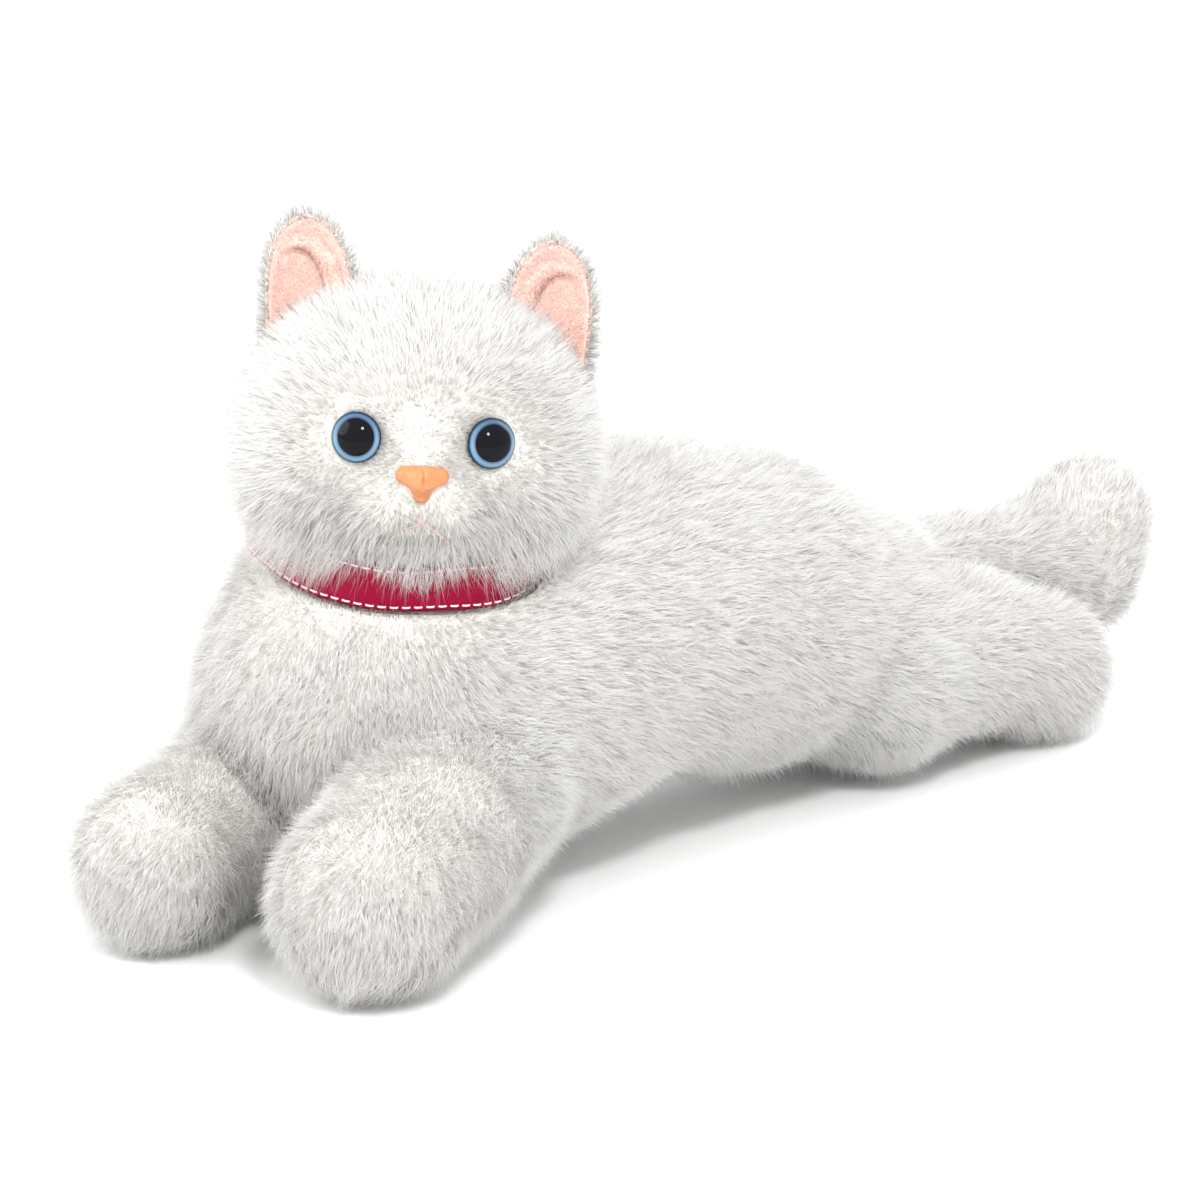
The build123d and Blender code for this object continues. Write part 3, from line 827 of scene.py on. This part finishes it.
def ear_coordinates(points, side):
    """Across (towards the head's middle), up and out of the ear's cup, with the sheet laid flat."""
    foot, axes, sign = ear_frame(side)
    across, up, forward = ((points - foot) @ axes.T).T
    t = np.clip(up / EAR_HEIGHT, 0, 1)
    cup = EAR_CUP * (across / EAR_HALF_WIDTH) ** 2 - EAR_LEAN * t ** 2
    return across * -sign, up, forward - cup


def ear_sheet(points, side, inset, front, back):
    """A rounded sheet lying between two depths of the cupped ear."""
    across, up, depth = ear_coordinates(points, side)
    t = np.clip(up / (EAR_HEIGHT - inset * 1.6), 0, 1)
    half_width = (EAR_HALF_WIDTH - inset) * np.sqrt(np.clip(1 - t ** 4.2, 0, 1))
    outline = np.where(t < 1, np.abs(across) - half_width, np.hypot(across, up - EAR_HEIGHT + inset * 1.6))
    slab = np.maximum(depth - front, back - depth) * 0.8
    shape = -join(-outline * 0.7, -slab, 1.6 * MM)
    return np.maximum(shape, -up)


# the soft roll inside the ear: (towards the head's middle, up, radius) from its foot to its end
EAR_ROLL = [
    (7.6, 12.0, 2.6), (7.4, 21.0, 2.8), (5.8, 28.0, 2.8),
    (2.2, 33.0, 2.5), (-2.6, 34.5, 1.9), (-7.0, 33.0, 1.0),
]


def lining_form(side):
    def form(points):
        shape = ear_sheet(points, side, 0.8 * MM, 2.4 * MM, 0.2 * MM)
        flat = np.stack(ear_coordinates(points, side), 1)
        stations = [(np.array([across, up, 2.0]) * MM, radius * MM) for across, up, radius in EAR_ROLL]
        return join(shape, chain(flat, stations, 1.0 * MM) * 0.8, 0.9 * MM)

    return form


def make_ear(side):
    foot, axes, _ = ear_frame(side)
    bounds = (foot - 30 * MM, foot + np.array([30, 30, 58]) * MM)
    lining = lining_form(side)

    def back_form(points):
        return ear_sheet(points, side, 0.0, 0.9 * MM, -2.6 * MM)

    def outwards(points):
        away = points - foot - axes[1] * 6 * MM
        return away / np.linalg.norm(away, axis=1, keepdims=True) - axes[2] * 0.1

    def uncovered(points):
        return (lining(points) > 0.3 * MM) & (head_form(points) > -3 * MM)

    def rim_pile(points):
        height = (points - foot) @ axes[1]
        return np.clip(7.5 - height / EAR_HEIGHT * 1.5, 5.0, 8.0) * MM

    ear_pieces = dress(
        side + "_ear", side + "_ear", back_form, bounds, 1.1 * MM, white_backing, white_fur,
        {side + "_ear_fur": uncovered}, per_mm2=5.5, comb=outwards, length=rim_pile, width=0.15,
        stiffness=0.35,
    )
    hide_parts(side + "_ear_back")

    def velvet(points):
        return (back_form(points) > -0.2 * MM) & (head_form(points) > -3 * MM)

    lining_pieces = dress(
        side + "_ear_lining", side + "_ear", lining, bounds, 0.8 * MM, pink_backing, pink_fur,
        {side + "_ear_velboa": velvet}, slot="ear_velboa", per_mm2=11.0, comb=outwards,
        length=lambda p: np.full(len(p), VELBOA_PILE), width=0.16, deep=False,
    )
    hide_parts(side + "_ear_lining")


make_ear("left")
make_ear("right")


# ---- eyes ------------------------------------------------------------------------------------------
EYE_RADIUS = 7.5
EYE_DOME = 4.4
EYE_SECTORS = 96
EYE_RINGS = 24
EYE_SINK = 1.3                            # of the dome's rim behind the middle of the CAD lens
EYE_DROP = 1.0
IRIS_SHIFT = (1.3, 0.5)                   # how far the lens makes the iris seem moved inwards and up


def eye_material():
    """Clear dome over a printed iris: black pupil, blue ring lit from below, dark edge."""
    made, tree, shader = material("safety_eye")
    spot = node(tree, "ShaderNodeUVMap", uv_map="OFBake")
    centred = node(tree, "ShaderNodeVectorMath", operation="SUBTRACT")
    tree.links.new(spot.outputs["UV"], centred.inputs[0])
    centred.inputs[1].default_value = (0.5, 0.5, 0)
    radius = node(tree, "ShaderNodeVectorMath", operation="LENGTH")
    tree.links.new(centred.outputs["Vector"], radius.inputs[0])
    share = node(tree, "ShaderNodeMath", operation="MULTIPLY")
    tree.links.new(radius.outputs["Value"], share.inputs[0])
    share.inputs[1].default_value = 2.2
    black = (0.004, 0.004, 0.006)
    # painted light: the ring is lighter at its lower side and darker at its upper side, as light falls
    # through the dome from below
    painted_lit_iris = ramp(tree, share.outputs["Value"], [
        (0.0, black), (0.73, black), (0.76, (0.09, 0.16, 0.26)), (0.86, (0.20, 0.33, 0.47)),
        (0.92, (0.13, 0.24, 0.37)), (0.97, (0.01, 0.02, 0.04)),
    ])
    deep = ramp(tree, share.outputs["Value"], [
        (0.0, black), (0.73, black), (0.77, (0.02, 0.05, 0.10)), (0.86, (0.06, 0.12, 0.20)),
        (0.92, (0.03, 0.07, 0.13)), (0.97, (0.01, 0.015, 0.03)),
    ])
    split = node(tree, "ShaderNodeSeparateXYZ")
    tree.links.new(spot.outputs["UV"], split.inputs["Vector"])
    height = node(tree, "ShaderNodeMapRange")
    tree.links.new(split.outputs["Y"], height.inputs["Value"])
    tune(height, From_Min=0.45, From_Max=0.95)
    # painted light: the mix runs from the lit lower ring to the shaded upper ring
    mixed = node(tree, "ShaderNodeMix", data_type="RGBA")
    tree.links.new(height.outputs["Result"], mixed.inputs["Factor"])
    tree.links.new(painted_lit_iris, mixed.inputs["A"])
    tree.links.new(deep, mixed.inputs["B"])
    tree.links.new(mixed.outputs["Result"], shader.inputs["Base Color"])
    tune(shader, Roughness=0.03, Specular_IOR_Level=0.12)
    return made


safety_eye = eye_material()


def make_eye(side):
    """A domed button turned about its own axis; its UVs look straight down that axis."""
    axis = unit(centre(side + "_eye_lens") - centre(side + "_eye_washer"))
    lens = centre(side + "_eye_lens") + (side_dir * FACE_SHIFT - crown_dir * EYE_DROP) * MM
    across = unit(np.cross(crown_dir, axis))
    axes = np.array([across, np.cross(axis, across), axis])
    iris_shift = np.array([IRIS_SHIFT[0] * (-1 if side == "left" else 1), IRIS_SHIFT[1]])
    dome = (EYE_RADIUS ** 2 + EYE_DOME ** 2) / (2 * EYE_DOME)
    widest = math.asin(EYE_RADIUS / dome)
    profile = [(EYE_RADIUS * 0.96, -0.9), (EYE_RADIUS, -0.5)]
    for step in range(EYE_RINGS):
        angle = widest * (1 - step / EYE_RINGS)
        profile.append((dome * math.sin(angle), dome * math.cos(angle) - dome + EYE_DOME))
    profile.append((0.04, EYE_DOME))
    corners, faces, spots = [], [], []
    for radius, height in profile:
        for k in range(EYE_SECTORS):
            angle = 2 * math.pi * k / EYE_SECTORS
            flat = np.array([radius * math.cos(angle), radius * math.sin(angle)])
            seen = flat - iris_shift * (1 - (radius / EYE_RADIUS) ** 2)
            local = np.array([flat[0], flat[1], height - EYE_SINK]) * MM
            corners.append(lens + local @ axes)
            spots.append(0.5 + seen / (2.2 * EYE_RADIUS))
    for ring in range(len(profile) - 1):
        for k in range(EYE_SECTORS):
            a, b = ring * EYE_SECTORS + k, ring * EYE_SECTORS + (k + 1) % EYE_SECTORS
            faces.append([a, b, b + EYE_SECTORS, a + EYE_SECTORS])
    faces.append(list(range(EYE_SECTORS))[::-1])
    faces.append([(len(profile) - 1) * EYE_SECTORS + k for k in range(EYE_SECTORS)])
    eye = mesh_object(side + "_eye", corners, faces, safety_eye)
    layer = eye.data.uv_layers.new(name="OFBake")
    back = len(faces) - 2
    for polygon in eye.data.polygons:
        for loop in polygon.loop_indices:
            spot = (0.99, 0.5) if polygon.index == back else spots[eye.data.loops[loop].vertex_index]
            layer.data[loop].uv = spot
    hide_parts(*(side + "_eye_" + part for part in ("lens", "iris", "pupil_base", "washer")))
    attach(eye, "head")


make_eye("left")
make_eye("right")


# ---- nose ------------------------------------------------------------------------------------------
NOSE_FORWARD = 46.5
# across, up and out, in millimetres from the nose's middle
NOSE_GROOVE = [(0, 5.0, 2.3), (0, 3.4, 3.6), (0, 1.9, 4.1), (0, 0.4, 4.5), (0, -1.4, 4.1)]
nose_place = on_head(NOSE[0], NOSE[1], NOSE_FORWARD)
nose_axis = unit(face_dir - crown_dir * 0.12)
nose_up = unit(crown_dir - nose_axis * (crown_dir @ nose_axis))
nose_frame = np.array([unit(np.cross(nose_up, nose_axis)), nose_up, nose_axis])


def nose_form(points):
    """Two soft wings over a rounded point, with nostril notches and a groove down the middle."""
    across, up, out = ((points - nose_place) @ nose_frame.T).T / MM
    local = np.stack([np.abs(across), up, out], 1)
    wing = bar(local, np.array([0, 1.9, 0.4]), np.array([4.9, 2.0, -1.2]), 3.3, 2.9)
    stem = bar(local, np.array([0, 0.4, 0.3]), np.array([0, -3.4, -0.6]), 4.1, 2.6)
    shape = join(wing, stem, 2.4)
    nostril = bar(local, np.array([4.0, -2.2, 2.3]), np.array([6.6, -1.1, 0.6]), 0.7, 0.9)
    groove = chain(local, [(np.array(place), 0.3) for place in NOSE_GROOVE], 0.1)
    shape = dent(shape, nostril, 1.4)
    shape = dent(shape, groove, 0.5)
    return np.maximum(shape, -4.5 - out) * MM


def nose_material():
    made, tree, shader = material("moulded_nose")
    cloud = pattern(tree, "ShaderNodeTexNoise", Scale=260, Detail=3)
    colour = ramp(tree, cloud, [(0.3, (0.52, 0.20, 0.075)), (0.7, (0.57, 0.24, 0.10))])
    tree.links.new(colour, shader.inputs["Base Color"])
    rough = node(tree, "ShaderNodeMapRange")
    tune(rough, To_Min=0.25, To_Max=0.42)
    tree.links.new(cloud, rough.inputs["Value"])
    tree.links.new(rough.outputs["Result"], shader.inputs["Roughness"])
    tune(shader, Subsurface_Weight=0.15, Subsurface_Radius=(0.002, 0.0008, 0.0004))
    return made


corners, quads = skin_of(nose_form, nose_place - 12 * MM, nose_place + 12 * MM, 0.35 * MM)
nose = mesh_object("nose", corners, quads, nose_material())
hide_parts("nose_button", "nose_washer")
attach(nose, "head")


# ---- mouth thread -------------------------------------------------------------------------------------
def on_fur(across, up, height):
    """The point in front of the face where the head's form is the given height away."""
    point = on_head(across + NOSE[0], up, 62)[None, :]
    for _ in range(60):
        point = point - face_dir * (head_form(point) - height)[:, None] * 0.8
    return point[0]


def thread_material(name, dark, light):
    made, tree, shader = material(name)
    strands = pattern(tree, "ShaderNodeTexWave", Scale=900, Distortion=1.5, bands_direction="DIAGONAL")
    tree.links.new(ramp(tree, strands, [(0.2, dark), (0.8, light)]), shader.inputs["Base Color"])
    add_bump(tree, shader, strands, 0.6, 0.0002)
    tune(shader, Roughness=0.6)
    return made


def tube(points, radius, sides=10, steps=8):
    """Corners and faces of a round tube with domed ends through a smooth run of points."""
    points = np.asarray(points, float)
    fine = np.linspace(0, len(points) - 1, (len(points) - 1) * steps + 1)
    padded = np.concatenate([[2 * points[0] - points[1]], points, [2 * points[-1] - points[-2]]])
    line = []
    for place in fine:
        k = min(int(place), len(points) - 2)
        t = place - k
        a, b, c, d = padded[k:k + 4]
        square = 2 * a - 5 * b + 4 * c - d
        cube = 3 * b - a - 3 * c + d
        line.append(0.5 * (2 * b + (c - a) * t + square * t ** 2 + cube * t ** 3))
    line = np.array(line)
    along = np.gradient(line, axis=0)
    along /= np.linalg.norm(along, axis=1, keepdims=True)
    corners, faces = [], []
    last = len(line) - 1
    side = unit(np.cross(along[0], [0.3, 0.2, 1.0]))
    for k in range(last + 1):
        side = unit(side - along[k] * (side @ along[k]))
        up = np.cross(along[k], side)
        size = radius * (0.45 if k in (0, last) else 1)
        for j in range(sides):
            angle = 2 * math.pi * j / sides
            corners.append(line[k] + (side * math.cos(angle) + up * math.sin(angle)) * size)
    for k in range(last):
        for j in range(sides):
            a, b = k * sides + j, k * sides + (j + 1) % sides
            faces.append([a, b, b + sides, a + sides])
    faces.append(list(range(sides))[::-1])
    faces.append([last * sides + j for j in range(sides)])
    return corners, faces


def tubes_object(name, runs, radius, surface, **options):
    corners, faces = [], []
    for run in runs:
        more_corners, more_faces = tube(run, radius, **options)
        faces += [[k + len(corners) for k in face] for face in more_faces]
        corners += more_corners
    return mesh_object(name, corners, faces, surface)


# across from the nose's middle and up from the head's centre, in millimetres
MOUTH_HALF = [(0.3, -22.3), (3.6, -23.8), (7.2, -26.4), (10.0, -29.6)]
MOUTH_LINES = [[(sign * across, up) for across, up in MOUTH_HALF] for sign in (1, -1)]
MOUTH_KNOT = [(-1.0, -22.4), (-0.5, -21.4), (0.1, -20.9), (0.6, -21.5), (1.0, -22.4)]
MOUTH_THREAD_RADIUS = 0.32 * MM
THREAD_ON_FUR = 1.9 * MM                  # how far out of the skin the lines lie, and the knot
KNOT_ON_FUR = 4.2 * MM
mouth_thread = thread_material("mouth_thread", (0.46, 0.30, 0.27), (0.62, 0.44, 0.41))
mouth_runs = [[on_fur(across, up, THREAD_ON_FUR) for across, up in line] for line in MOUTH_LINES]
mouth_runs.append([on_fur(across, up, KNOT_ON_FUR) for across, up in MOUTH_KNOT])
mouth = tubes_object("mouth_thread_lines", mouth_runs, MOUTH_THREAD_RADIUS, mouth_thread)
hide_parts("mouth_stitching")
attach(mouth, "head")


# ---- collar -------------------------------------------------------------------------------------------
RIBBON_RADIUS = 46.6 * MM
RIBBON_TOP = -23.0 * MM
RIBBON_FOOT = -37.5 * MM
RIBBON_HALF_THICKNESS = 0.28 * MM
STITCH_PITCH = 3.5 * MM
STITCH_LENGTH = 2.3 * MM
STITCH_RADIUS = 0.30 * MM
STITCH_ROWS = (0.09, 0.91)                # shares of the ribbon's height
RIBBON_COLUMNS = 360
RIBBON_ROWS = 14


def ribbon_point(angle, share, out=0.0):
    """A point on the ribbon: share 0 is its lower edge and 1 its upper."""
    wave = 0.5 * math.sin(5 * angle + 1) + 0.35 * math.sin(9 * angle + 2.2)
    height = RIBBON_FOOT + (RIBBON_TOP - RIBBON_FOOT) * share + wave * 0.7 * MM
    flare = 0.9 * MM * (2 * share - 1) ** 2 + 0.35 * MM * math.sin(7 * angle + 3 * share)
    radius = RIBBON_RADIUS + flare + out
    around = side_dir * math.cos(angle) + forward_of_neck * math.sin(angle)
    return head_centre + neck_dir * height + around * radius


def satin_material():
    """Crimson satin: fine ribs across the ribbon, a soft streaked shine."""
    made, tree, shader = material("satin_ribbon")
    spot = node(tree, "ShaderNodeUVMap", uv_map="ribbon")
    ribs = node(tree, "ShaderNodeTexWave", Scale=1.0, Distortion=0.4, Detail=1)
    stretch = node(tree, "ShaderNodeMapping")
    stretch.inputs["Scale"].default_value = (260, 4, 1)
    tree.links.new(spot.outputs["UV"], stretch.inputs["Vector"])
    tree.links.new(stretch.outputs["Vector"], ribs.inputs["Vector"])
    cloud = node(tree, "ShaderNodeTexNoise", Scale=14, Detail=3)
    tree.links.new(spot.outputs["UV"], cloud.inputs["Vector"])
    shade = ramp(tree, cloud.outputs["Fac"], [(0.3, (0.22, 0.001, 0.022)), (0.7, (0.30, 0.002, 0.032))])
    rib_shade = ramp(tree, ribs.outputs["Fac"], [(0.0, (0.72, 0.72, 0.72)), (0.7, (1, 1, 1))])
    tree.links.new(multiplied(tree, shade, rib_shade), shader.inputs["Base Color"])
    add_bump(tree, shader, ribs.outputs["Fac"], 0.5, 0.00025)
    tune(shader, Roughness=0.32, Anisotropic=0.6, Specular_IOR_Level=0.5, Specular_Tint=(1.0, 0.10, 0.25, 1))
    return made


def make_ribbon():
    around, up = RIBBON_COLUMNS, RIBBON_ROWS
    corners, faces, spots = [], [], []
    for out in (RIBBON_HALF_THICKNESS, -RIBBON_HALF_THICKNESS):
        for k in range(around):
            for row in range(up + 1):
                corners.append(ribbon_point(2 * math.pi * k / around, row / up, out))
    layer = around * (up + 1)
    for k in range(around):
        following = (k + 1) % around
        for row in range(up):
            a, b = k * (up + 1) + row, following * (up + 1) + row
            faces.append([a, b, b + 1, a + 1])
            faces.append([layer + a + 1, layer + b + 1, layer + b, layer + a])
            for _ in range(2):
                spots.append((k, row))
        for row in (0, up):
            a, b = k * (up + 1) + row, following * (up + 1) + row
            edge = [a, a + layer, b + layer, b]
            faces.append(edge if row == 0 else edge[::-1])
            spots.append((k, row))
    ribbon = mesh_object("collar_band", corners, faces, satin_material())
    spot_layer = ribbon.data.uv_layers.new(name="ribbon")
    for polygon, (k, row) in zip(ribbon.data.polygons, spots):
        for loop in polygon.loop_indices:
            corner = ribbon.data.loops[loop].vertex_index % layer
            column, line = divmod(corner, up + 1)
            if column == 0 and k == around - 1:
                column = around
            spot_layer.data[loop].uv = (column / around, line / up)
    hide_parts("collar_ribbon")
    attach(ribbon, "collar")


def make_stitches():
    count = int(2 * math.pi * RIBBON_RADIUS / STITCH_PITCH)
    runs = []
    for share in STITCH_ROWS:
        for k in range(count):
            middle = 2 * math.pi * (k + 0.5 * (share > 0.5)) / count
            half = STITCH_LENGTH / 2 / RIBBON_RADIUS
            ends = [(-1.0, 0.15), (-0.6, 0.55), (0.6, 0.55), (1.0, 0.15)]
            runs.append([ribbon_point(middle + half * t, share, out * MM) for t, out in ends])
    thread = thread_material("white_thread", (0.80, 0.74, 0.75), (0.94, 0.91, 0.91))
    stitches = tubes_object("collar_stitches", runs, STITCH_RADIUS, thread, sides=8, steps=3)
    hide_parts("collar_edge_stitching")
    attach(stitches, "collar")


make_ribbon()
make_stitches()


# ---- floor, light and camera ---------------------------------------------------------------------------
def make_floor():
    made, tree, shader = material("studio_floor")
    tune(shader, Base_Color=(0.86, 0.86, 0.86, 1), Roughness=0.8, Specular_IOR_Level=0.1)
    corners = [(-6, -6, 0), (6, -6, 0), (6, 6, 0), (-6, 6, 0)]
    floor = mesh_object("floor", corners, [[0, 1, 2, 3]], made)


def area_light(name, place, aim, size, power):
    data = bpy.data.lights.new(name, "AREA")
    data.shape = "DISK"
    data.size = size
    data.energy = power
    light = scene_object(name, data)
    light.location = place
    light.rotation_euler = (Vector(aim) - Vector(place)).to_track_quat("-Z", "Y").to_euler()


def make_world(strength):
    world = bpy.data.worlds.new("studio")
    world.use_nodes = True
    world.node_tree.nodes["Background"].inputs["Color"].default_value = (1, 1, 1, 1)
    world.node_tree.nodes["Background"].inputs["Strength"].default_value = strength
    bpy.context.scene.world = world


VIEW_AZIMUTH = math.radians(41)
VIEW_ELEVATION = math.radians(17)
VIEW_DISTANCE = 1.7
LENS = 163.2
view_target = Vector(chest + np.array([6, 88, 12]) * MM)


def make_camera():
    data = bpy.data.cameras.new("camera")
    data.lens = LENS
    data.sensor_width = 36
    camera = scene_object("camera", data)
    back = Vector((
        math.sin(VIEW_AZIMUTH) * math.cos(VIEW_ELEVATION),
        -math.cos(VIEW_AZIMUTH) * math.cos(VIEW_ELEVATION),
        math.sin(VIEW_ELEVATION),
    ))
    camera.location = view_target + back * VIEW_DISTANCE
    camera.rotation_euler = back.to_track_quat("Z", "Y").to_euler()
    bpy.context.scene.camera = camera


make_floor()
bpy.context.scene.view_settings.view_transform = "Standard"
make_world(1.32)
area_light("key", (0.95, -0.75, 1.35), view_target, 0.3, 17)
area_light("fill", (-0.9, -1.1, 0.9), view_target, 1.3, 15)
area_light("back", (0.2, 1.5, 1.2), view_target, 1.3, 11)
make_camera()
